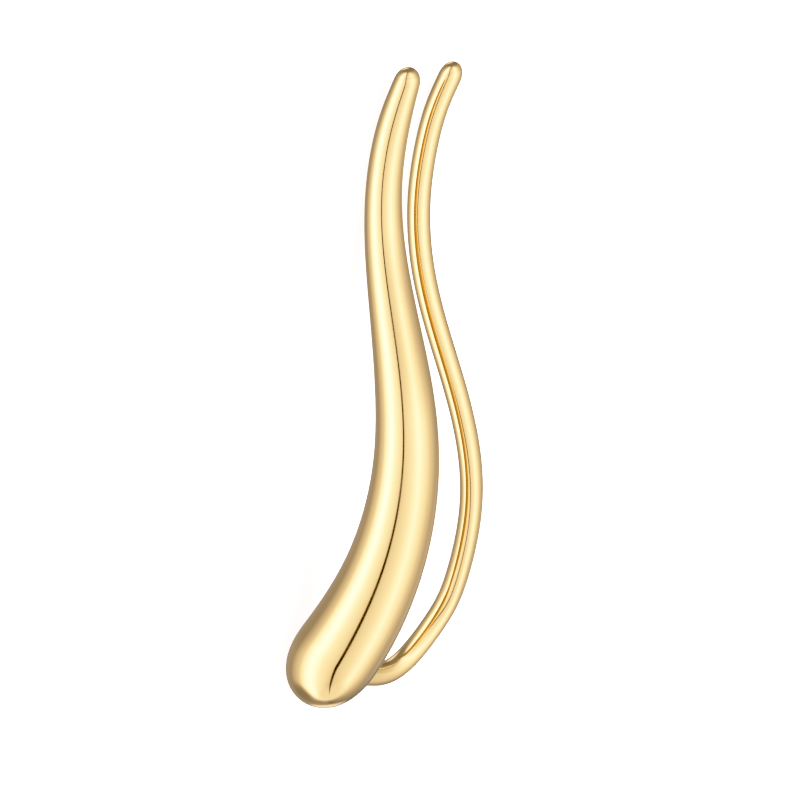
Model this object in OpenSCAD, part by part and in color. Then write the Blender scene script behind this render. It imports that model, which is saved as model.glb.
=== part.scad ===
// Ear climber: a tapered, S-curved drop with a round bulb, and the round ear wire
// soldered to the bulb's back that follows the drop up behind the ear's rim.
// The shape is described as it is worn: height upward, sideways across the face,
// back into the head. It is then laid on its side, the way it lies on a table.

/* [Climber] */
// Height as worn, from the bottom of the bulb to the tip of the ear wire
climber_h = 30; // [24:0.5:36]
// Tilt of the length when it lies: the full bulb lifts that end of the axis
rest_pitch = 10.6; // [5:0.05:15]
// Roll about the length when it lies: the drop's neck is thicker than the wire
rest_roll = 2.1; // [0:0.05:5]

/* [Drop] */
// Thickness of the drop at its bulb
bulb_d = 4.2; // [3.2:0.1:4.8]
// Length of the rounding at the slender tip
tip_round = 0.95; // [0.6:0.05:1.4]
// Length of the rounding at the bottom of the bulb
bulb_round = 2.8; // [2.2:0.1:3.2]

/* [Ear wire] */
// Thickness of the ear wire
wire_d = 1.1; // [0.8:0.05:1.3]
// Depth from the middle of the drop to the middle of the wire, behind the lobe
lobe_depth = 7.4; // [6.4:0.1:9]
// Length of the rounding at the wire's free end
wire_round = 0.75; // [0.4:0.05:1]

/* [Smoothness] */
// Sides around the drop
drop_sides = 28; // [16:2:32]
// Rings along the drop between its rounded ends
drop_rings = 64; // [30:1:70]
// Sides around the wire
wire_sides = 16; // [10:2:18]
// Rings along the wire between its ends
wire_rings = 100; // [50:1:110]

/* [Hidden] */

// Rings in the rounding at either end of a sweep
CAP_RINGS = 9;
// Samples along a curve for measuring its length
SAMPLES = 240;
// The wire's soldered end is cut square, inside the bulb
SOLDERED_ROUND = 0.05;

// Columns of both tables
HEIGHT = 0;
SIDEWAYS = 1;
BACK = 2;
THICKNESS = 3;
// Column of the radius in a curve row, after sideways, back and height
RADIUS = 3;

// Sections of the drop, from its tip down to the bulb. Height and sideways are in
// hundredths of climber_h, back in hundredths of lobe_depth, thickness in
// hundredths of bulb_d.
DROP = [
    [99.1, 2.2, 0, 27],
    [90, -1.25, 0, 37],
    [80, -3, 0, 40.5],
    [70, -2.6, 0, 46],
    [60, -1, 0, 54],
    [50, 0.65, 0, 64],
    [40, 1.25, 0, 72],
    [30, -0.15, 0, 79.5],
    [20, -3.75, 0, 87.5],
    [10, -9.95, 0, 97],
    [0.6, -18.1, 0, 100]
];

// Sections of the ear wire, from its free end down to the solder. The columns are
// the same, but thickness is in hundredths of wire_d. The last rows widen the wire
// into the smooth flare of the solder.
WIRE = [
    [99.4, 1.6, 55.5, 100],
    [94.8, -0.15, 50.5, 100],
    [89.2, -2, 47.5, 100],
    [79.2, -3.55, 44.5, 100],
    [69.1, -3.05, 43.5, 100],
    [59.2, -1.25, 48, 100],
    [48.9, 0.5, 60, 100],
    [38.6, 1.1, 73, 100],
    [28.3, -0.65, 86, 100],
    [17.6, -5.2, 97.5, 100],
    [12.2, -8.2, 99, 100],
    [7, -11.1, 90, 100],
    [4, -12.8, 78, 100],
    [2.9, -13.9, 63.5, 100],
    [3.4, -14.9, 43, 106],
    [5.8, -15.3, 17, 165]
];

// Metal colour
GOLD = [0.93, 0.76, 0.43];

// A table's rows as curve rows: sideways, back, height and radius in millimetres
function curve_rows(table, thick) = [
    for (row = table) [
        row[SIDEWAYS] * climber_h / 100,
        row[BACK] * lobe_depth / 100,
        row[HEIGHT] * climber_h / 100,
        row[THICKNESS] * thick / 200
    ]
];

// The smooth curve passes inside its rows where they bend. Each inner row is moved
// out by a sixth of the bend, so that the curve passes through the table's places.
function through(rows) = [
    for (i = [0 : len(rows) - 1])
    i == 0 || i == len(rows) - 1
        ? rows[i]
        : rows[i] - (rows[i - 1] - 2 * rows[i] + rows[i + 1]) / 6
];

// A row more at either end, so that the smooth curve starts and ends on the table
function with_ends(rows) = let (n = len(rows)) concat(
    [2 * rows[0] - rows[1]], rows, [2 * rows[n - 1] - rows[n - 2]]
);

// Point of the smooth curve through the rows, u counting rows from the first
function on_curve(rows, u) = let (
    k = min(floor(u), len(rows) - 4),
    t = u - k
) (
    pow(1 - t, 3) * rows[k]
    + (3 * pow(t, 3) - 6 * t * t + 4) * rows[k + 1]
    + (-3 * pow(t, 3) + 3 * t * t + 3 * t + 1) * rows[k + 2]
    + pow(t, 3) * rows[k + 3]
) / 6;

// Slope of the same curve
function curve_slope(rows, u) = let (
    k = min(floor(u), len(rows) - 4),
    t = u - k
) (
    -pow(1 - t, 2) * rows[k]
    + (3 * t * t - 4 * t) * rows[k + 1]
    + (-3 * t * t + 2 * t + 1) * rows[k + 2]
    + t * t * rows[k + 3]
) / 2;

function place(row) = [row.x, row.y, row.z];
function unit(v) = v / norm(v);

// Pairs of length travelled and u, for reading the curve by length
function length_chart(rows) = let (
    du = (len(rows) - 3) / SAMPLES,
    points = [for (i = [0 : SAMPLES]) place(on_curve(rows, i * du))]
) [
    for (i = 0, s = 0; i <= SAMPLES;
         s = s + (i < SAMPLES ? norm(points[i + 1] - points[i]) : 0), i = i + 1)
    [s, i * du]
];

// Lengths at which the rings stand: even between, crowded toward the round ends
function ring_lengths(total, round_a, round_b, rings) = concat(
    [for (i = [1 : CAP_RINGS]) round_a * (1 - cos(90 * i / CAP_RINGS))],
    [for (i = [1 : rings]) round_a + (total - round_a - round_b) * i / rings],
    [for (i = [1 : CAP_RINGS - 1]) total - round_b * (1 - sin(90 * i / CAP_RINGS))]
);

// Share of the full thickness that is left at a distance from a rounded end
function rounding(distance, round_len) =
    let (short = max(0, 1 - distance / round_len)) sqrt(1 - short * short);

// Points of a swept bar: its first end, its rings, its last end
function bar_points(table, thick, round_a, round_b, rings, sides, reference) = let (
    rows = with_ends(through(curve_rows(table, thick))),
    chart = length_chart(rows),
    total = chart[SAMPLES][0]
) concat(
    [place(on_curve(rows, 0))],
    [
        for (s = ring_lengths(total, round_a, round_b, rings))
        let (
            u = lookup(s, chart),
            row = on_curve(rows, u),
            along = unit(place(curve_slope(rows, u))),
            across = unit(cross(along, reference)),
            third = cross(along, across),
            radius = row[RADIUS] * rounding(s, round_a) * rounding(total - s, round_b)
        )
        for (j = [0 : sides - 1])
        let (a = 360 * j / sides)
        place(row) + radius * (cos(a) * across + sin(a) * third)
    ],
    [place(on_curve(rows, len(rows) - 3))]
);

// Faces of a swept bar, in the order of its points
function bar_faces(count, sides) = let (
    rings = (count - 2) / sides,
    last = count - 1
) concat(
    [for (j = [0 : sides - 1]) [0, 1 + j, 1 + (j + 1) % sides]],
    [
        for (i = [0 : rings - 2], j = [0 : sides - 1])
        let (
            a = 1 + i * sides + j,
            b = 1 + i * sides + (j + 1) % sides
        )
        each [[a, a + sides, b], [b, a + sides, b + sides]]
    ],
    [for (j = [0 : sides - 1]) [last, last - sides + (j + 1) % sides, last - sides + j]]
);

// A point as worn, turned onto its side: sideways becomes up, and the bulb's end
// points along +X
function laid(p) = let (
    turn = -90 - rest_pitch,
    x = p.x * cos(turn) + p.z * sin(turn),
    z = p.z * cos(turn) - p.x * sin(turn),
    roll = -rest_roll
) [
    x,
    p.y * cos(roll) - z * sin(roll),
    p.y * sin(roll) + z * cos(roll)
];

drop_points = [
    for (p = bar_points(DROP, bulb_d, tip_round, bulb_round, drop_rings, drop_sides, [0, 1, 0]))
    laid(p)
];
wire_points = [
    for (p = bar_points(WIRE, wire_d, wire_round, SOLDERED_ROUND, wire_rings, wire_sides, [1, 0, 0]))
    laid(p)
];

// The box of both, for setting the origin under its middle
all_points = concat(drop_points, wire_points);
all_x = [for (p = all_points) p.x];
all_y = [for (p = all_points) p.y];
all_z = [for (p = all_points) p.z];
under_middle = [
    (min(all_x) + max(all_x)) / 2,
    (min(all_y) + max(all_y)) / 2,
    min(all_z)
];

// One swept bar, moved over the origin
module bar(points, sides) {
    polyhedron(
        points = [for (p = points) p - under_middle],
        faces = bar_faces(len(points), sides),
        convexity = 8
    );
}

// The tapered drop with its round bulb
module drop() {
    bar(drop_points, drop_sides);
}

// The ear wire with its solder flare
module ear_wire() {
    bar(wire_points, wire_sides);
}

// Drop and ear wire, soldered into one piece of metal
module climber() {
    color(GOLD)
    union() {
        drop();
        ear_wire();
    }
}

climber();
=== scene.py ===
# %% [markdown]
# # An ear climber in polished gold
#
# The object is one piece of jewellery: a slender drop with a full round bulb, bent in
# a long soft S, and a round ear wire soldered to the bulb's back. The wire goes through
# the piercing of the ear lobe, and the drop climbs the rim of the ear.
#
# It is a lesson in two things. A curved, tapering bar can be described by a handful
# of sections and swept by Geometry Nodes, and a mirror-bright metal is mostly made by
# what stands around it: the room is a part of the finish.

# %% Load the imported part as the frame
import math

import bpy
import numpy as np
from mathutils import Matrix, Vector
from mathutils.bvhtree import BVHTree


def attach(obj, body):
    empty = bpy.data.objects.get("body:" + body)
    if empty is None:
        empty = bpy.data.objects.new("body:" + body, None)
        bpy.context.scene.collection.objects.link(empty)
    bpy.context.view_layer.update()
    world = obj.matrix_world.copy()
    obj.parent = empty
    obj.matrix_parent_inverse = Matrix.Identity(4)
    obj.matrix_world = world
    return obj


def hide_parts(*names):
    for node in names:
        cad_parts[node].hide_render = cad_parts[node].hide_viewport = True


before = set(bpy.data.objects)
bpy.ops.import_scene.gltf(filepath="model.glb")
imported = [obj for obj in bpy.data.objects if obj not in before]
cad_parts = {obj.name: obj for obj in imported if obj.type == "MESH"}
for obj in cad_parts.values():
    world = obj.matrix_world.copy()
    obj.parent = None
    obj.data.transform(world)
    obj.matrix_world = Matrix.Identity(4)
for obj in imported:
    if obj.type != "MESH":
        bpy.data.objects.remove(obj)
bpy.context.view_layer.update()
MM = 0.001

# %% [markdown]
# ## The shape as a table of sections
#
# A bench jeweller forges such a drop from a round rod: drawn thin at one end, left
# full at the other, then bent over a mandrel. Its shape is known once a few sections
# are known: where the rod's middle lies and how thick it is there. Modelling it from
# a box with many cuts would work too, but a table is easier to correct, because each
# row is one place on the real thing.
#
# The rows describe the climber as it is worn: height upward, sideways across the
# face, and back into the head. They are the rows of the part's source, but the wire
# keeps its thickness to the end, because here the solder is grown in a step of its own.

# %% Driving sizes of the climber
CLIMBER_H = 30 * MM
BULB_D = 4.2 * MM
WIRE_D = 1.1 * MM
# From the middle of the drop to the middle of the wire, behind the lobe
LOBE_DEPTH = 7.4 * MM
# Lengths of the roundings at the drop's tip, under the bulb and at the wire's free end
TIP_ROUND = 0.8 * MM
BULB_ROUND = 3.3 * MM
WIRE_ROUND = 0.88 * MM
print("bulb to wire, thickness:", round(BULB_D / WIRE_D, 2))

# %% Sections of the drop and of the wire
# Columns: height and sideways in hundredths of CLIMBER_H, back in hundredths of
# LOBE_DEPTH, thickness in hundredths of the bulb's or the wire's thickness.
DROP_SECTIONS = [
    (99.1, 2.2, 0, 27),
    (90, -1.25, 0, 37),
    (80, -3, 0, 40.5),
    (70, -2.6, 0, 46),
    (60, -1, 0, 54),
    (50, 0.65, 0, 64),
    (40, 1.25, 0, 72),
    (30, -0.15, 0, 79.5),
    (20, -3.75, 0, 87.5),
    (10, -9.95, 0, 97),
    (0.6, -18.1, 0, 100),
]
WIRE_SECTIONS = [
    (99.4, 1.6, 55.5, 100),
    (94.8, -0.15, 50.5, 100),
    (89.2, -2, 47.5, 100),
    (79.2, -3.55, 44.5, 100),
    (69.1, -3.05, 43.5, 100),
    (59.2, -1.25, 48, 100),
    (48.9, 0.5, 60, 100),
    (38.6, 1.1, 73, 100),
    (28.3, -0.65, 86, 100),
    (17.6, -5.2, 97.5, 100),
    (12.2, -8.2, 99, 100),
    (7, -11.1, 90, 100),
    (4, -12.8, 78, 100),
    (2.9, -13.9, 63.5, 100),
    (3.4, -14.9, 43, 100),
    (5.8, -15.3, 17, 100),
]
print("sections of the drop and of the wire:", len(DROP_SECTIONS), len(WIRE_SECTIONS))

# %% [markdown]
# A NURBS curve of order 4 passes smoothly by its points, and Blender lets each point
# carry a radius, so the thickness is smoothed in the same way as the path. Such a
# curve cuts the corners of its points, and it stops short of its end points. Each
# point in between is therefore moved out by a sixth of the bend there, which brings
# the curve back on to the place that was measured. One more point at either end,
# mirrored about the last one, makes it start and end exactly on the table's rows.

# %% The rows that steer each curve
def section_rows(sections, full_thickness):
    """Rows of sideways, back, height and radius, in metres, that steer the curve."""
    places = [
        np.array(
            (
                sideways * CLIMBER_H / 100,
                back * LOBE_DEPTH / 100,
                height * CLIMBER_H / 100,
                thickness * full_thickness / 100 / 2,
            )
        )
        for height, sideways, back, thickness in sections
    ]
    inner = [
        here - (before - 2 * here + after) / 6
        for before, here, after in zip(places, places[1:], places[2:])
    ]
    rows = [places[0], *inner, places[-1]]
    return [2 * rows[0] - rows[1]] + rows + [2 * rows[-1] - rows[-2]]


# %% Curves that carry their own thickness
NURBS_ORDER = 4
# Straight steps between two points of the curve
CURVE_STEPS = 160


def section_curve(name, sections, full_thickness):
    """A smooth curve object through the middles of the sections."""
    rows = section_rows(sections, full_thickness)
    data = bpy.data.curves.new(name, "CURVE")
    data.dimensions = "3D"
    spline = data.splines.new("NURBS")
    spline.points.add(len(rows) - 1)
    for point, (x, y, z, radius) in zip(spline.points, rows):
        point.co = (x, y, z, 1)
        point.radius = radius
    spline.order_u = NURBS_ORDER
    spline.resolution_u = CURVE_STEPS
    made = bpy.data.objects.new(name, data)
    bpy.context.scene.collection.objects.link(made)
    return made


drop_path = section_curve("drop_path", DROP_SECTIONS, BULB_D)
wire_path = section_curve("wire_path", WIRE_SECTIONS, WIRE_D)
print("points on the drop's path:", len(drop_path.data.splines[0].points))

# %% [markdown]
# ## Building node trees in code
#
# In the editor a node is dropped in, set and wired by hand. In a script each of these
# is a line of its own, and a tree of almost forty nodes gets long. Three helpers keep
# one step on one line. The first adds a node and fills its inputs in the order given,
# the second links or sets one input, and the third does a sum.

# %% Small helpers for building node trees
def add_node(tree, kind, *links, **settings):
    """A node with its settings, its inputs linked or filled in the order given."""
    made = tree.nodes.new(kind)
    for key, value in settings.items():
        setattr(made, key, value)
    for socket, value in zip(made.inputs, links):
        feed(tree, value, socket)
    return made


def feed(tree, value, socket):
    """Links an output into a socket, or sets a plain value on it."""
    if isinstance(value, bpy.types.Node):
        value = value.outputs[0]
    if isinstance(value, bpy.types.NodeSocket):
        tree.links.new(value, socket)
    else:
        socket.default_value = value


def maths(tree, operation, *values, clamp=False):
    """A Math node's result."""
    return add_node(tree, "ShaderNodeMath", *values, operation=operation, use_clamp=clamp).outputs[0]


# %% [markdown]
# ## One node tree that sweeps any rounded bar
#
# Drop and wire follow the same rule, so one Geometry Nodes tree makes both. It walks
# along the path and puts a ring at each stop. The stops crowd toward the ends,
# because a dome needs many rings close to its pole and a straight stretch needs few:
# half a cosine wave gives that spacing. Toward each end the ring shrinks almost as the
# side of an ellipse does, which makes a full round dome and no point. A true ellipse,
# with a power of 2, would start to curve all at once, and a mirror finish shows that as
# a kink in every reflection. A power of 2.5 lets the curve begin softly.

# %% The tree's named inputs
BAR_INPUTS = {
    "Path": "NodeSocketGeometry",
    "Rings": "NodeSocketInt",
    "Sides": "NodeSocketInt",
    "First rounding": "NodeSocketFloat",
    "Last rounding": "NodeSocketFloat",
    "Stop short": "NodeSocketFloat",
    "Metal": "NodeSocketMaterial",
}


def new_bar_tree():
    """A tree with its named inputs and its one output, and nothing between them."""
    tree = bpy.data.node_groups.new("swept bar with rounded ends", "GeometryNodeTree")
    for title, kind in BAR_INPUTS.items():
        tree.interface.new_socket(title, in_out="INPUT", socket_type=kind)
    tree.interface.new_socket("Bar", in_out="OUTPUT", socket_type="NodeSocketGeometry")
    return tree


# %% Where the rings stand and how far each has shrunk
ROUNDING_POWER = 2.5


def ring_distances(tree, rings, length):
    """Each ring's distance along the path, crowded toward both ends."""
    last = maths(tree, "SUBTRACT", rings, 1.0)
    share = maths(tree, "DIVIDE", tree.nodes.new("GeometryNodeInputIndex"), last)
    wave = maths(tree, "COSINE", maths(tree, "MULTIPLY", share, math.pi))
    eased = maths(tree, "MULTIPLY", maths(tree, "SUBTRACT", 1.0, wave), 0.5)
    return maths(tree, "MULTIPLY", eased, length)


def end_rounding(tree, distance, round_length):
    """Share of the full thickness that is left at a distance from a rounded end."""
    travelled = maths(tree, "DIVIDE", distance, round_length)
    short = maths(tree, "SUBTRACT", 1.0, travelled, clamp=True)
    bent = maths(tree, "POWER", short, ROUNDING_POWER)
    return maths(tree, "SQRT", maths(tree, "SUBTRACT", 1.0, bent, clamp=True))


# %% [markdown]
# The spine is the line through the middles of the rings. It starts as a plain row of
# points, one for each ring. Each point is moved to its place on the path, and notes
# the ring's radius in an attribute of its own, because the curve's own radius doesn't
# know the roundings.

# %% The spine of the bar
def bar_spine(tree, given):
    """A curve through the rings' middles that carries their radius."""
    whole = add_node(tree, "GeometryNodeCurveLength", given["Path"])
    length = maths(tree, "SUBTRACT", whole, given["Stop short"])
    distance = ring_distances(tree, given["Rings"], length)
    sample = add_node(
        tree,
        "GeometryNodeSampleCurve",
        given["Path"],
        tree.nodes.new("GeometryNodeInputRadius"),
        mode="LENGTH",
        data_type="FLOAT",
    )
    feed(tree, distance, sample.inputs["Length"])
    to_end = maths(tree, "SUBTRACT", whole, distance)
    first_share = end_rounding(tree, distance, given["First rounding"])
    last_share = end_rounding(tree, to_end, given["Last rounding"])
    radius = maths(tree, "MULTIPLY", sample.outputs["Value"], first_share)
    radius = maths(tree, "MULTIPLY", radius, last_share)

    stops = add_node(tree, "GeometryNodeMeshLine", given["Rings"])
    placed = add_node(tree, "GeometryNodeSetPosition", stops)
    feed(tree, sample.outputs["Position"], placed.inputs["Position"])
    noted = add_node(tree, "GeometryNodeStoreNamedAttribute", placed)
    feed(tree, "ring_radius", noted.inputs["Name"])
    feed(tree, radius, noted.inputs["Value"])
    return add_node(tree, "GeometryNodeMeshToCurve", noted)


# %% [markdown]
# Curve to Mesh alone would make a tube with open ends. The rounding turns it into a
# bar, because it shrinks the end rings to points, and Merge by Distance closes these
# poles.

# %% The sweeping tree
POLE_GAP = 0.0001 * MM


def build_bar_tree():
    """The whole tree, from a path that carries its thickness to a closed bar of metal."""
    tree = new_bar_tree()
    given = tree.nodes.new("NodeGroupInput").outputs
    spine = bar_spine(tree, given)
    ring_radius = add_node(tree, "GeometryNodeInputNamedAttribute", "ring_radius", data_type="FLOAT")
    circle = add_node(tree, "GeometryNodeCurvePrimitiveCircle", given["Sides"])
    feed(tree, 1.0, circle.inputs["Radius"])
    skin = add_node(tree, "GeometryNodeCurveToMesh", spine, circle, ring_radius)
    closed = add_node(tree, "GeometryNodeMergeByDistance", skin)
    feed(tree, POLE_GAP, closed.inputs["Distance"])
    smooth = add_node(tree, "GeometryNodeSetShadeSmooth", closed)
    whole_bar = add_node(tree, "GeometryNodeRealizeInstances", smooth)
    finished = add_node(tree, "GeometryNodeSetMaterial", whole_bar)
    feed(tree, given["Metal"], finished.inputs["Material"])
    result = tree.nodes.new("NodeGroupOutput")
    tree.links.new(finished.outputs[0], result.inputs["Bar"])
    return tree


bar_tree = build_bar_tree()
print("nodes in the sweeping tree:", len(bar_tree.nodes))

# %% [markdown]
# ## The metal
#
# Polished yellow gold has no paint and no pattern. What tells it from a yellow
# plastic is that its colour lives in the reflections. What tells it from a
# computer's perfect mirror is the polish itself: the wheel leaves hair-fine lines
# along the length, and the last rouge leaves the sheen a little uneven.
#
# So the colour is one constant on the shader, and two quiet patterns act on the
# surface: long faint streaks as a bump far too low to see one by one, and a cloudy
# change of roughness. Both read Object coordinates, so they stay on the metal from
# every side.

# %% Polished gold
GOLD = (0.95, 0.70, 0.345, 1)
# The streaks are long along X, which is the climber's length
STREAK_STRETCH = (0.4, 6.0, 6.0)
STREAK_SCALE = 2200
STREAK_HEIGHT = 0.0004 * MM
STREAK_STRENGTH = 0.12
CLOUD_SCALE = 420
# The part of the clouds' range that counts, and the roughness at its two ends
CLOUD_RANGE = (0.35, 0.7)
SHEEN = (0.07, 0.12)


def fill(node, values):
    """Sets a node's inputs by their names."""
    for title, value in values.items():
        node.inputs[title].default_value = value


def polished_gold():
    """Mirror-bright gold with polishing lines along X and an uneven sheen."""
    metal = bpy.data.materials.new("polished gold")
    metal.use_nodes = True
    tree = metal.node_tree
    shader = tree.nodes["Principled BSDF"]
    fill(shader, {"Base Color": GOLD, "Metallic": 1.0})
    place = tree.nodes.new("ShaderNodeTexCoord").outputs["Object"]

    along = add_node(tree, "ShaderNodeMapping", place)
    fill(along, {"Scale": STREAK_STRETCH})
    streaks = add_node(tree, "ShaderNodeTexNoise", along)
    fill(streaks, {"Scale": STREAK_SCALE, "Detail": 3})
    lines = add_node(tree, "ShaderNodeBump")
    fill(lines, {"Strength": STREAK_STRENGTH, "Distance": STREAK_HEIGHT})
    feed(tree, streaks.outputs["Fac"], lines.inputs["Height"])
    feed(tree, lines, shader.inputs["Normal"])

    clouds = add_node(tree, "ShaderNodeTexNoise", place)
    fill(clouds, {"Scale": CLOUD_SCALE, "Detail": 4})
    sheen = add_node(tree, "ShaderNodeMapRange", clouds.outputs["Fac"], *CLOUD_RANGE, *SHEEN)
    feed(tree, sheen, shader.inputs["Roughness"])
    return metal


gold = polished_gold()
print("material:", gold.name, "with", len(gold.node_tree.nodes), "nodes")

# %% [markdown]
# ## Sweep the drop and the wire
#
# The modifier's inputs are set by their identifiers before the object is first
# evaluated. The result is copied to a plain mesh, and the path is thrown away.
#
# The wire stops a little short of the bulb and stays open there: its last stretch
# belongs to the solder, which is the next step.

# %% Turn a path into a plain mesh
def sweep(name, path, **inputs):
    """The swept bar along a path, as a mesh object of its own."""
    modifier = path.modifiers.new("sweep", "NODES")
    modifier.node_group = bar_tree
    for item in bar_tree.interface.items_tree:
        if item.in_out == "INPUT" and item.name in inputs:
            modifier[item.identifier] = inputs[item.name]
    graph = bpy.context.evaluated_depsgraph_get()
    mesh = bpy.data.meshes.new_from_object(path.evaluated_get(graph), depsgraph=graph)
    mesh.name = name
    bpy.data.objects.remove(path)
    made = bpy.data.objects.new(name, mesh)
    bpy.context.scene.collection.objects.link(made)
    return made


# %% Both bars
# The wire stops this far short of its path's end, which lies inside the bulb. The
# rounding at that end is too short to reach the wire, so the wire's end stays open.
WIRE_STOP = 1.35 * MM
SQUARE_END = 0.05 * MM

drop_sizes = {
    "Rings": 420,
    "Sides": 96,
    "First rounding": TIP_ROUND,
    "Last rounding": BULB_ROUND,
    "Stop short": 0.0,
    "Metal": gold,
}
wire_sizes = {
    "Rings": 480,
    "Sides": 48,
    "First rounding": WIRE_ROUND,
    "Last rounding": SQUARE_END,
    "Stop short": WIRE_STOP,
    "Metal": gold,
}
drop = sweep("drop", drop_path, **drop_sizes)
wire = sweep("ear_wire", wire_path, **wire_sizes)
for bar in (drop, wire):
    print(bar.name, "faces:", len(bar.data.polygons))

# %% [markdown]
# ## The solder joint
#
# When the wire is soldered to the bulb, the melted metal creeps up the wire and out
# over the bulb and cools in a small hollow curve. Two solids that merely cross would
# show a hard seam there, and a bevel of that seam would need a clean edge loop.
#
# So the wire's last ring is carried on instead. Each of its points follows a curve
# of its own, which leaves along the wire and lands almost flat on the bulb, a little
# further out. A union then fuses both into the one body that they are.

# %% Helpers for the joint
def open_loop(mesh):
    """The points round a mesh's one open end, in the order in which its faces run."""
    steps = set()
    for face in mesh.polygons:
        corners = list(face.vertices)
        steps.update(zip(corners, corners[1:] + corners[:1]))
    onward = {a: b for a, b in steps if (b, a) not in steps}
    loop = [min(onward)]
    while onward[loop[-1]] != loop[0]:
        loop.append(onward[loop[-1]])
    return loop


def bulb_middle(bulb):
    """The middle of the drop's fullest part."""
    low = min(v.co.z for v in bulb.data.vertices)
    near = [v.co for v in bulb.data.vertices if v.co.z < low + BULB_D]
    return sum(near, Vector()) / len(near)


def bezier(p0, p1, p2, p3, t):
    """A point on the curve from p0 to p3 with handles p1 and p2."""
    u = 1 - t
    return p0 * u**3 + p1 * (3 * u * u * t) + p2 * (3 * u * t * t) + p3 * t**3


# %% The way of each point from the wire to the bulb
# Radius of the solder's foot on the bulb, and how deep it sinks in
FOOT_R = 0.95 * MM
FOOT_DEPTH = 0.01 * MM
# Shares of the way that lie flat on the bulb and straight along the wire, and how
# much of the depth is gained back before the foot
FLAT_SHARE = 0.85
STRAIGHT_SHARE = 0.55
LANDING_RISE = 0.5


def solder_paths(mesh, loop, bulb):
    """For each point of the loop, its way from the wire to the bulb."""
    ring = [mesh.vertices[i].co.copy() for i in loop]
    middle = sum(ring, Vector()) / len(ring)
    across = (ring[len(ring) // 4] - middle).cross(ring[0] - middle).normalized()
    towards = across if across.dot(bulb_middle(bulb) - middle) > 0 else -across
    tree = BVHTree.FromObject(bulb, bpy.context.evaluated_depsgraph_get())
    paths = []
    for point in ring:
        outward = (point - middle).normalized()
        landing, normal, _, _ = tree.ray_cast(middle + outward * FOOT_R, towards)
        spread = (outward - normal * outward.dot(normal)).normalized()
        reach = (landing - point).dot(towards)
        foot = landing - normal * FOOT_DEPTH
        creep = FLAT_SHARE * (FOOT_R - WIRE_D / 2) / spread.dot(outward)
        handle = foot - spread * creep + normal * FOOT_DEPTH * LANDING_RISE
        paths.append((point, point + towards * STRAIGHT_SHARE * reach, handle, foot))
    return paths


# %% Grow the solder from the wire's open end
SOLDER_RINGS = 14


def grow_solder(wire, bulb):
    """Carries the wire's open end on to the bulb and closes it inside."""
    mesh = wire.data
    loop = open_loop(mesh)
    paths = solder_paths(mesh, loop, bulb)
    points = [v.co.copy() for v in mesh.vertices]
    faces = [tuple(face.vertices) for face in mesh.polygons]
    before = loop
    for step in range(1, SOLDER_RINGS + 1):
        ring = range(len(points), len(points) + len(loop))
        points += [bezier(*path, step / SOLDER_RINGS) for path in paths]
        faces += [
            (before[j], before[j - 1], ring[j - 1], ring[j]) for j in range(len(loop))
        ]
        before = ring
    faces.append(tuple(reversed(before)))
    mesh.clear_geometry()
    mesh.from_pydata(points, [], faces)
    mesh.polygons.foreach_set("use_smooth", [True] * len(faces))


grow_solder(wire, drop)
print("wire with its solder, faces:", len(wire.data.polygons))

# %% [markdown]
# Two closed skins that overlap are not yet one piece of metal. Joining them into one
# object would keep the solder's foot hidden inside the bulb. A union cuts away all that
# lies inside and leaves one skin. The exact solver is used, because the foot meets the
# bulb at a very flat angle, where the fast one can fail.

# %% Fuse drop, solder and wire into one body
def fuse(name, first, second):
    """The union of two closed meshes as one plain mesh object."""
    union = first.modifiers.new("solder", "BOOLEAN")
    union.operation = "UNION"
    union.solver = "EXACT"
    union.object = second
    graph = bpy.context.evaluated_depsgraph_get()
    mesh = bpy.data.meshes.new_from_object(first.evaluated_get(graph), depsgraph=graph)
    mesh.name = name
    bpy.data.objects.remove(first)
    bpy.data.objects.remove(second)
    made = bpy.data.objects.new(name, mesh)
    bpy.context.scene.collection.objects.link(made)
    return made


climber = fuse("climber_metal", drop, wire)
print("fused body, faces:", len(climber.data.polygons))

# %% [markdown]
# ## Lay it on its side
#
# So far the climber stands as it is worn. By itself it can't stand: on a table it
# rolls on to its side and rests on three points, the side of the bulb, the drop's
# neck and the wire's neck. Two small angles follow from those points. The turn goes
# into the mesh, so that the object itself stays at the origin.

# %% Turn the mesh and set it on the ground
REST_PITCH = math.radians(10.6)
REST_ROLL = math.radians(2.1)

lie_down = Matrix.Rotation(-REST_ROLL, 4, "X") @ Matrix.Rotation(-math.pi / 2 - REST_PITCH, 4, "Y")
climber.data.transform(lie_down)
places = np.array([v.co for v in climber.data.vertices])
low = Vector(places.min(axis=0))
high = Vector(places.max(axis=0))
to_ground = Matrix.Translation((-(low.x + high.x) / 2, -(low.y + high.y) / 2, -low.z))
climber.data.transform(to_ground)
as_laid = to_ground @ lie_down
climber.data.materials.clear()
climber.data.materials.append(gold)

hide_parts("climber")
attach(climber, "root")
print("size in mm:", [round(v / MM, 2) for v in high - low])

# %% [markdown]
# ## The floor
#
# Small bright things are often photographed on a sheet of opal acrylic with a light
# below it. The sheet glows almost as brightly as it is lit from above, so next to no
# shadow is left and the ground turns white. Here the glow is the shader's emission.
#
# Bright metal would mirror such a ground as one flat white patch. A photographer
# keeps that patch out with strips of black and white card just outside the picture.
# Here the floor is left out of the metal's reflections, and the room below stands for
# those cards.

# %% Opal acrylic
SHEET_GLOW = 1.0
SHEET_ROUGHNESS = 0.6
SHEET_CLOUDS = 40
# Darkest and brightest white in the clouds
SHEET_WHITES = (0.88, 0.90)


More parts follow.
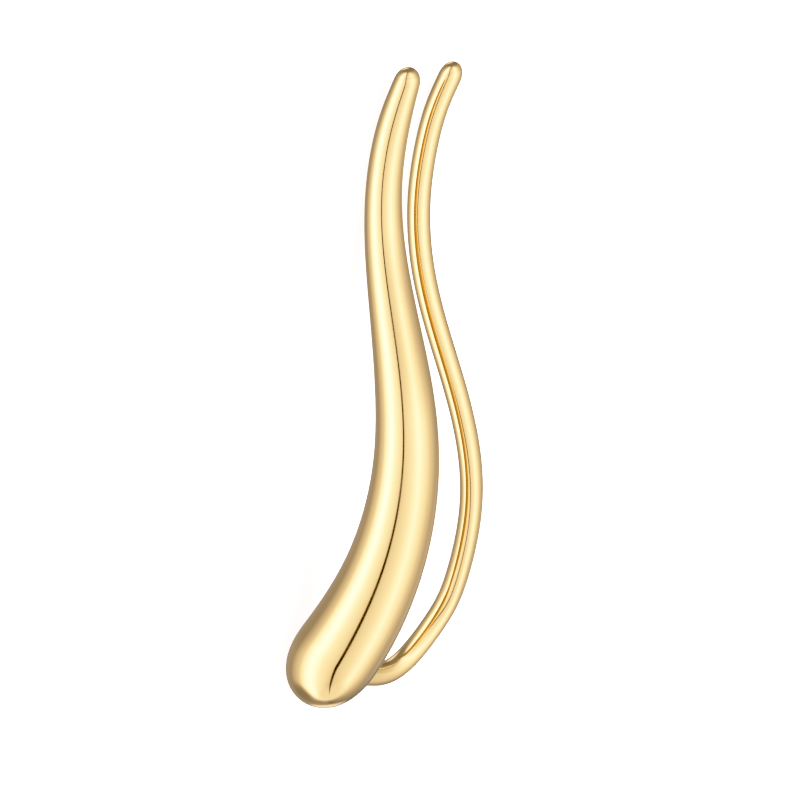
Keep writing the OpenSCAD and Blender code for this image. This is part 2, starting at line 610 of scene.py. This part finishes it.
def opal_acrylic():
    """White that glows evenly, with a faint cloudiness in the sheet."""
    opal = bpy.data.materials.new("opal acrylic")
    opal.use_nodes = True
    tree = opal.node_tree
    shader = tree.nodes["Principled BSDF"]
    place = tree.nodes.new("ShaderNodeTexCoord").outputs["Object"]
    clouds = add_node(tree, "ShaderNodeTexNoise", place)
    fill(clouds, {"Scale": SHEET_CLOUDS})
    shade = add_node(tree, "ShaderNodeMapRange", clouds.outputs["Fac"], 0.0, 1.0, *SHEET_WHITES)
    feed(tree, shade, shader.inputs["Base Color"])
    fill(shader, {"Emission Color": (1, 1, 1, 1), "Emission Strength": SHEET_GLOW})
    fill(shader, {"Roughness": SHEET_ROUGHNESS, "Specular IOR Level": 0.0})
    return opal


# %% The sheet under the climber
SHEET_REACH = 900 * MM

ground = bpy.data.meshes.new("floor")
ground.from_pydata(
    [(x * SHEET_REACH, y * SHEET_REACH, 0) for x, y in ((-1, -1), (1, -1), (1, 1), (-1, 1))],
    [],
    [(0, 1, 2, 3)],
)
floor = bpy.data.objects.new("floor", ground)
bpy.context.scene.collection.objects.link(floor)
ground.materials.append(opal_acrylic())
floor.visible_glossy = False
print("sheet, edge in mm:", round(2 * SHEET_REACH / MM))

# %% [markdown]
# ## The camera
#
# The photo was taken almost level with the worn climber, from a third of a right
# angle to its side: that is how the wire shows beside the drop. The camera keeps that
# angle to the piece, with the lens of a product shot, long and far away. Because the
# piece lies on its side, the camera looks down on the floor and is tipped over with
# it, so that the picture shows the climber upright.

# %% The photo's angle to the piece
VIEW_SIDE = math.radians(33)
VIEW_RISE = math.radians(5)
AIM_HEIGHT = 14.35 * MM

to_camera = Vector(
    (
        math.sin(VIEW_SIDE) * math.cos(VIEW_RISE),
        -math.cos(VIEW_SIDE) * math.cos(VIEW_RISE),
        math.sin(VIEW_RISE),
    )
)
to_right = Vector((math.cos(VIEW_SIDE), math.sin(VIEW_SIDE), 0))
to_top = to_camera.cross(to_right)
turn = as_laid.to_3x3()
aim = as_laid @ Vector((0, 0, AIM_HEIGHT))
camera_axes = Matrix([turn @ to_right, turn @ to_top, turn @ to_camera]).transposed()
print("the camera looks at, in mm:", [round(v / MM, 2) for v in aim])

# %% The camera and its long lens
VIEW_DISTANCE = 400 * MM
PHOTO_WIDTH_AT_AIM = 36.96 * MM
SENSOR = 36.0
NEAR_LIMIT = 10 * MM
FAR_LIMIT = 10000 * MM

lens = bpy.data.cameras.new("camera")
lens.sensor_width = SENSOR
lens.lens = SENSOR * VIEW_DISTANCE / PHOTO_WIDTH_AT_AIM
lens.clip_start = NEAR_LIMIT
lens.clip_end = FAR_LIMIT
camera = bpy.data.objects.new("camera", lens)
camera.matrix_world = Matrix.Translation(aim + turn @ to_camera * VIEW_DISTANCE) @ camera_axes.to_4x4()
bpy.context.scene.collection.objects.link(camera)
bpy.context.scene.camera = camera
print("camera height above the floor in mm:", round(camera.matrix_world.translation.z / MM, 1))

# %% [markdown]
# ## The studio
#
# Gold takes all its light and dark from its surroundings. Along each side of the
# photo's drop runs a broad pale band: two soft panels, one to the left of the camera
# and one to the right. Between them runs a thin dark line, the gap between two cards.
# Toward both edges the metal deepens to brown, where it mirrors the unlit room.
#
# The room is drawn in the world shader by direction, measured around the climber's
# length: 0 is where the camera stands, and the right hand side counts up. A panel
# that stood straight would be mirrored as a stripe of one width from tip to bulb. The
# photo's stripes spread a little toward the bulb, so the panels lean: their feet stand
# further round from the camera than their tops.
#
# All the stripes would run together straight above and straight below, and a round
# end mirrors just those two places as a star. So both are covered with one even tone.
# Four single cards finish the ends: a bright one behind gives the pale rim under the
# bulb, one high behind the pale rims of the tips, a dark one low on the left the
# brown edge beside the bulb, and a dim one on the right keeps its back from going dark.

# %% The two panels
ROOM_BRIGHTNESS = 2.6
ROOM_LEAN = math.radians(15)
# Columns: direction round the climber in degrees, share of the full brightness
ROUND_THE_ROOM = [
    (-180, 0.15),
    (-120, 0.15),
    (-90, 0.35),
    (-60, 1.00),
    (-40, 0.60),
    (-10, 0.35),
    (20, 0.50),
    (45, 0.75),
    (60, 0.60),
    (90, 0.35),
    (120, 0.20),
    (160, 0.10),
    (180, 0.15),
]
# Columns: direction up along the climber in degrees, share of the full brightness
UP_THE_ROOM = [
    (-80, 0.80),
    (-50, 0.90),
    (-20, 0.90),
    (5, 1.00),
    (15, 0.85),
    (30, 0.95),
    (45, 0.80),
    (60, 0.60),
]

# %% Even tones at both ends, and single cards
# Straight below and straight above, the room is one even tone. Columns: brightness,
# degrees up where the tone starts, and where it is even
BELOW = (0.40, -65, -85)
ABOVE = (0.10, 55, 75)
# Single cards. Columns: brightness, where its middle is round and up, and how far
# from the middle its soft edge starts and ends. The angles are in degrees.
CARDS = [
    (0.40, -180, -40, 15, 5),
    (0.40, -160, 50, 20, 5),
    (0.10, -125, -45, 25, 5),
    (0.20, 140, -20, 20, 5),
]
print("single cards:", len(CARDS))

# %% The gap between the two cards
# Places in degrees. The cards stand further apart at their feet.
GAP_MIDDLE = -11.5
GAP_HALF = 2.7
GAP_HALF_FEET = 3.6
GAP_FEET_UP = -35
GAP_SOFT = 0.4
# What little light comes through it is brown
GAP_BRIGHTNESS = 0.015
GAP_TINT = (1.0, 0.45, 0.1)

# %% [markdown]
# A world shader asks one question: from which direction does the light come? Its answer
# is built from dot products. A direction's share along the climber's length tells how
# high it points, and its shares along two level axes give the angle around.

# %% Helpers for reading directions and mixing light
def share_along(tree, direction, axis):
    """How far a direction points along an axis, from -1 to 1."""
    product = add_node(tree, "ShaderNodeVectorMath", direction, axis, operation="DOT_PRODUCT")
    return product.outputs["Value"]


def soft_step(tree, value, start, end):
    """0 before the start, 1 past the end, and soft between them."""
    step = add_node(tree, "ShaderNodeMapRange", value, start, end)
    step.interpolation_type = "SMOOTHSTEP"
    return step.outputs["Result"]


def blend(tree, first, second, share):
    """Goes from the first value to the second as the share goes from 0 to 1."""
    return maths(tree, "MULTIPLY_ADD", share, maths(tree, "SUBTRACT", second, first), first)


def brightness_ramp(tree, value, table, position):
    """The table's brightness read at a value that runs from 0 to 1."""
    ramp = add_node(tree, "ShaderNodeValToRGB", value)
    stops = ramp.color_ramp
    while len(stops.elements) > 1:
        stops.elements.remove(stops.elements[-1])
    for index, (degrees, brightness) in enumerate(table):
        place = position(degrees)
        stop = stops.elements[0] if index == 0 else stops.elements.new(place)
        stop.position = place
        stop.color = (brightness, brightness, brightness, 1)
    return ramp.outputs["Color"]


# %% The room's axes and its panels
length_axis = turn @ Vector((0, 0, 1))
side_axis = turn @ to_right
front_axis = side_axis.cross(length_axis).normalized()


def soft_panels(tree, direction):
    """Brightness around the room times brightness up the room."""
    leaned_axis = front_axis * math.cos(ROOM_LEAN) - length_axis * math.sin(ROOM_LEAN)
    side = share_along(tree, direction, side_axis)
    around = maths(tree, "ARCTAN2", side, share_along(tree, direction, leaned_axis))
    share_around = maths(tree, "MULTIPLY_ADD", around, 1 / math.tau, 0.5)
    upward = share_along(tree, direction, length_axis)
    share_up = maths(tree, "MULTIPLY_ADD", upward, 0.5, 0.5)
    panels = brightness_ramp(tree, share_around, ROUND_THE_ROOM, lambda a: (a + 180) / 360)
    heights = brightness_ramp(
        tree, share_up, UP_THE_ROOM, lambda a: (math.sin(math.radians(a)) + 1) / 2
    )
    return maths(tree, "MULTIPLY", panels, heights)


# %% End tones and cards laid over the panels
def with_end_tones(tree, direction, room):
    """The room with its even tones straight below and straight above."""
    along = share_along(tree, direction, length_axis)
    for tone, starts, even in (BELOW, ABOVE):
        limits = [math.sin(math.radians(degrees)) for degrees in (starts, even)]
        room = blend(tree, room, tone, soft_step(tree, along, *limits))
    return room


def with_cards(tree, direction, room):
    """The room with its single cards, each a soft round patch."""
    for tone, *degrees in CARDS:
        around, up, starts, full = map(math.radians, degrees)
        level = front_axis * math.cos(around) + side_axis * math.sin(around)
        card_axis = level * math.cos(up) + length_axis * math.sin(up)
        toward = share_along(tree, direction, card_axis)
        on_card = soft_step(tree, toward, math.cos(starts), math.cos(full))
        room = blend(tree, room, tone, on_card)
    return room


def beyond_gap(tree, direction):
    """0 in the dark gap and 1 beside it."""
    side = share_along(tree, direction, side_axis)
    across = maths(tree, "ARCTAN2", side, share_along(tree, direction, front_axis))
    off_gap = maths(tree, "ABSOLUTE", maths(tree, "SUBTRACT", across, math.radians(GAP_MIDDLE)))
    along = share_along(tree, direction, length_axis)
    low = soft_step(tree, along, 0.0, math.sin(math.radians(GAP_FEET_UP)))
    gap_edge = blend(tree, math.radians(GAP_HALF), math.radians(GAP_HALF_FEET), low)
    past_edge = maths(tree, "SUBTRACT", off_gap, gap_edge)
    return soft_step(tree, past_edge, math.radians(-GAP_SOFT), math.radians(GAP_SOFT))


# %% The world shader
def studio_world():
    """The room by direction around and along the climber. The camera sees plain white."""
    world = bpy.data.worlds.new("studio")
    world.use_nodes = True
    tree = world.node_tree
    direction = tree.nodes.new("ShaderNodeTexCoord").outputs["Generated"]
    room = soft_panels(tree, direction)
    room = with_end_tones(tree, direction, room)
    room = with_cards(tree, direction, room)
    beyond = beyond_gap(tree, direction)
    room = maths(tree, "MULTIPLY", room, blend(tree, GAP_BRIGHTNESS, 1.0, beyond))
    room = maths(tree, "MULTIPLY", room, ROOM_BRIGHTNESS)

    seen = tree.nodes.new("ShaderNodeLightPath").outputs["Is Camera Ray"]
    white = maths(tree, "MULTIPLY", seen, ROOM_BRIGHTNESS)
    background = tree.nodes["Background"]
    feed(tree, maths(tree, "MAXIMUM", room, white), background.inputs["Strength"])
    tint = add_node(tree, "ShaderNodeMix", data_type="RGBA")
    feed(tree, beyond, tint.inputs["Factor"])
    fill(tint, {"A": (*GAP_TINT, 1), "B": (1, 1, 1, 1)})
    feed(tree, tint.outputs["Result"], background.inputs["Color"])
    return world


bpy.context.scene.world = studio_world()
print("nodes in the room:", len(bpy.context.scene.world.node_tree.nodes))

# %% [markdown]
# The floor has a light of its own: one broad panel overhead, which the metal doesn't
# mirror. Under it the climber throws only a soft shadow where it touches the sheet.

# %% A broad soft light for the floor alone
PANEL_SIZE = 260 * MM
PANEL_HEIGHT = 220 * MM
PANEL_POWER = 0.75

panel = bpy.data.lights.new("overhead panel", "AREA")
panel.size = PANEL_SIZE
panel.energy = PANEL_POWER
overhead = bpy.data.objects.new("overhead panel", panel)
overhead.location = (0, 0, PANEL_HEIGHT)
overhead.visible_glossy = False
overhead.visible_camera = False
bpy.context.scene.collection.objects.link(overhead)
print("overhead panel in watts:", PANEL_POWER)

# %% [markdown]
# ## The film
#
# Bright highlights on gold turn from yellow to cream and then to white, and its
# darkest reflections turn to a deep brown. The camera does that, not the metal: it
# rolls its bright tones off softly, red later than green and blue, and in the
# shadows it lets go of blue first. One curve for each colour does the same.

# %% Soft highlights and warm shadows
BRIGHTEST = 2.0
# Columns: light that comes in, share of white that the picture shows
PALE_TONES = [(0.6, 0.59), (0.8, 0.75), (1.0, 0.86), (1.3, 0.96)]
FILM = {
    "red": [(0.1, 0.1), (0.8, 0.8), (0.95, 0.9), (1.1, 0.96), (1.3, 0.99)],
    "green": [(0.04, 0.025), (0.1, 0.09), (0.4, 0.39), *PALE_TONES],
    "blue": [(0.02, 0.0), (0.05, 0.02), (0.1, 0.08), (0.4, 0.38), *PALE_TONES],
}

looks = bpy.context.scene.view_settings
looks.view_transform = "Standard"
looks.use_curve_mapping = True
film = looks.curve_mapping
film.black_level = (0, 0, 0)
film.white_level = (BRIGHTEST, BRIGHTEST, BRIGHTEST)
film.extend = "HORIZONTAL"
for layer, tones in zip(film.curves, FILM.values()):
    for light, shown in tones:
        layer.points.new(light / BRIGHTEST, shown)
film.update()
print("film layers:", ", ".join(FILM))
